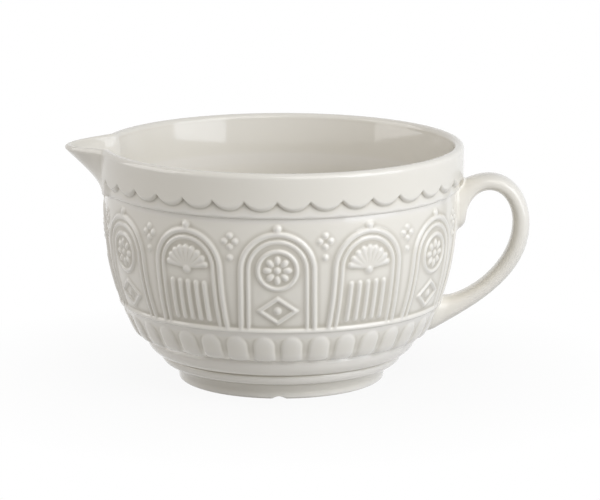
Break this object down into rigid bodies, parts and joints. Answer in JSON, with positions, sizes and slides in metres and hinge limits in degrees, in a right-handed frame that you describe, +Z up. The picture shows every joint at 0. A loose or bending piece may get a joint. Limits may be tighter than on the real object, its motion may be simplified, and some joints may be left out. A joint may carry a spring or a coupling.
{
  "type": "batter bowl",
  "caption": "Round glazed stoneware mixing bowl with a scalloped collar, a drawn pouring lip and a loop handle, for mixing and pouring batter.",
  "frame": {"origin": "centre of the foot ring, on the surface the bowl stands on, on the bowl's own axis", "axes": "+Z up along the bowl's axis, +X toward the handle, so the pouring lip points along -X; the XZ plane is the plane of symmetry"},
  "size_m": [0.2739, 0.2154, 0.1405],
  "materials": {
    "cream_glaze": "glossy clear glaze over cream stoneware",
    "fired_slip": "fired clay slip under the same glaze"
  },
  "bodies": {
    "root": {"bowl": "cream_glaze", "handle": "cream_glaze", "upper_slip_joint": "fired_slip", "lower_slip_joint": "fired_slip"}
  },
  "joints": []
}
